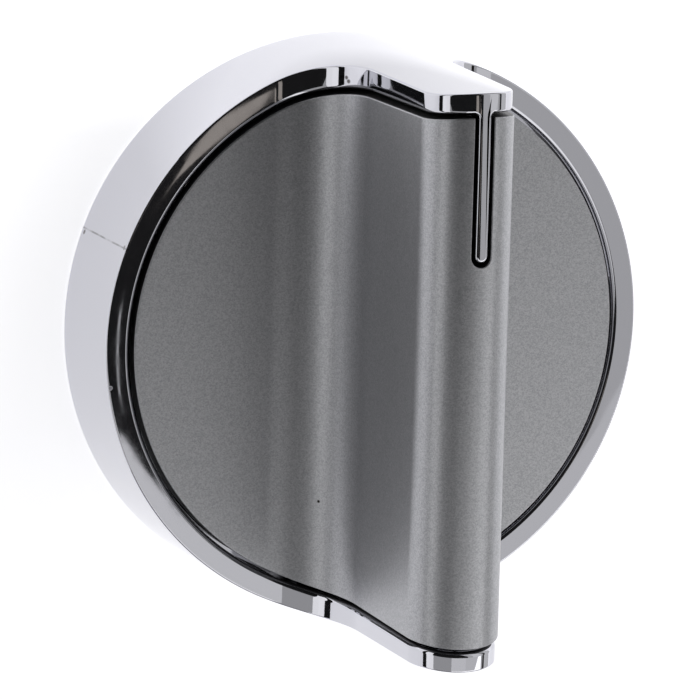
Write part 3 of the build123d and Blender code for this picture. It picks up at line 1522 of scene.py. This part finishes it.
@dataclass
class Studio:
    """White table in a black tent with sheets of soft light, and the camera of the photograph."""

    table: TableWhite = field(default_factory=TableWhite)
    cloth: BlackCloth = field(default_factory=BlackCloth)
    focus: tuple[float, float, float] = (-1.81, -1.875, 10.0)
    distance: float = 683.5
    yaw: float = 23.35
    pitch: float = 12.05
    roll: float = 1.55
    lens: float = 360.0
    sensor: float = 36.0
    clip: tuple[float, float] = (10.0, 20000.0)
    table_size: float = 3000.0
    table_drop: float = 0.02
    tent_half: float = 710.0
    tent_top: float = 410.0

    def cards(self) -> list[Card]:
        """Lists the sheets of the tent: left and right walls, and the roof in parts.

        Returns:
            The sheets.
        """
        down = (0.0, 0.0, -1.0)
        return [
            Card("left_middle", (-700, 0, 195), (1400, 130), (1, 0, 0), 1.18),
            Card("left_high", (-700, 0, 330), (1400, 140), (1, 0, 0), 1.12),
            Card("right_low", (700, 0, 120), (1400, 240), (-1, 0, 0), 0.67),
            Card("right_high", (700, 0, 360), (1400, 80), (-1, 0, 0), 0.46),
            Card("roof_right_near", (215, 298, 400), (110, 804), down, 0.52),
            Card("roof_right_far", (485, 298, 400), (430, 804), down, 0.78),
            Card("roof_front_left", (-400, -405, 400), (600, 590), down, 0.41),
            Card("roof_middle_near", (20, -137, 400), (240, 66), down, 0.75),
            Card("roof_middle_far", (20, -435, 400), (240, 530), down, 1.26),
            Card("roof_front_near", (420, -137, 400), (560, 66), down, 0.67),
            Card("roof_front_far", (420, -435, 400), (560, 530), down, 1.88),
            Card("roof_patch", (50, -44, 399), (40, 24), down, 0.45, "#eee4d8"),
            Card("roof_patch_low", (103, -51, 399), (16, 22), down, 0.45, "#eee4d8"),
            Card("roof_slit", (88, -87, 399), (3, 14), down, 0.50),
        ]

    def tent(self) -> None:
        """Closes the tent behind the cards with black cloth, so that only they show in the plating."""
        half, top = self.tent_half * MM, self.tent_top * MM
        square = [(-half, -half), (half, -half), (half, half), (-half, half)]
        mesh = bpy.data.meshes.new("tent")
        walls = [(i, 4 + i, 4 + (i + 1) % 4, (i + 1) % 4) for i in range(4)]
        mesh.from_pydata([(x, y, z) for z in (0.0, top) for x, y in square], [], walls + [(4, 7, 6, 5)])
        mesh.materials.append(self.cloth.material())
        made = link_object("tent", mesh)
        made.visible_camera = False

    def camera(self) -> None:
        """Sets the camera up above the face, turned a little to the left and towards the pointer."""
        yaw, pitch, roll = (radians(a) for a in (self.yaw, self.pitch, self.roll))
        back = Vector((-sin(yaw) * cos(pitch), sin(pitch), cos(yaw) * cos(pitch)))
        right = (-back).cross(Vector((0, 1, 0))).normalized()
        up = right.cross(-back)
        across = right * cos(roll) + up * sin(roll)
        upward = up * cos(roll) - right * sin(roll)
        data = bpy.data.cameras.new("camera")
        data.lens, data.sensor_width = self.lens, self.sensor
        data.clip_start, data.clip_end = (end * MM for end in self.clip)
        made = link_object("camera", data)
        made.matrix_world = Matrix((across, upward, back)).transposed().to_4x4()
        made.location = (Vector(self.focus) + back * self.distance) * MM
        bpy.context.scene.camera = made

    def floor(self) -> None:
        """Lays the table under the knob."""
        half = self.table_size / 2 * MM
        mesh = bpy.data.meshes.new("table")
        corners = [(-half, -half, 0), (half, -half, 0), (half, half, 0), (-half, half, 0)]
        mesh.from_pydata(corners, [], [(0, 1, 2, 3)])
        mesh.materials.append(self.table.material())
        made = link_object("table", mesh)
        made.location.z = -self.table_drop * MM

    def room(self) -> None:
        """Sets the white room outside the tent."""
        world = bpy.data.worlds.new("studio")
        bpy.context.scene.world = world
        world.use_nodes = True
        tree = world.node_tree
        tree.nodes.clear()
        sky = add(tree, "ShaderNodeBackground", {"Color": (1.0, 1.0, 1.0, 1.0), "Strength": 1.0})
        add(tree, "ShaderNodeOutputWorld", {"Surface": sky})

    def build(self) -> None:
        """Sets up the table, the light and the camera."""
        bpy.context.scene.view_settings.view_transform = "Standard"
        self.floor()
        self.room()
        self.tent()
        for card in self.cards():
            card.hang()
        self.camera()


def main() -> None:
    """Builds the knob, the table, the light and the camera, and logs each piece."""
    logging.basicConfig(level=logging.INFO, format="%(message)s")
    wave = Wave()
    settle(ChromeShell(wave, PlatedChrome()).build(), Slot.CHROME, "chrome_shell")
    substrate = FilledPlastic("black_moulded_abs", "#161617", "#1c1c1d", 0.45)
    settle(GripCover(wave, FlakePaint(), substrate).build(), Slot.PAINT, "grip_cover")
    settle(RivetHeads(substrate).build(), Slot.BLACK)
    settle(HubCore(FilledPlastic()).build(), Slot.BLACK, "hub_core")
    settle(SpringRing(SpringSteel()).build(), Slot.STEEL, "spring_ring")
    Studio().build()


if __name__ == "__main__":
    main()
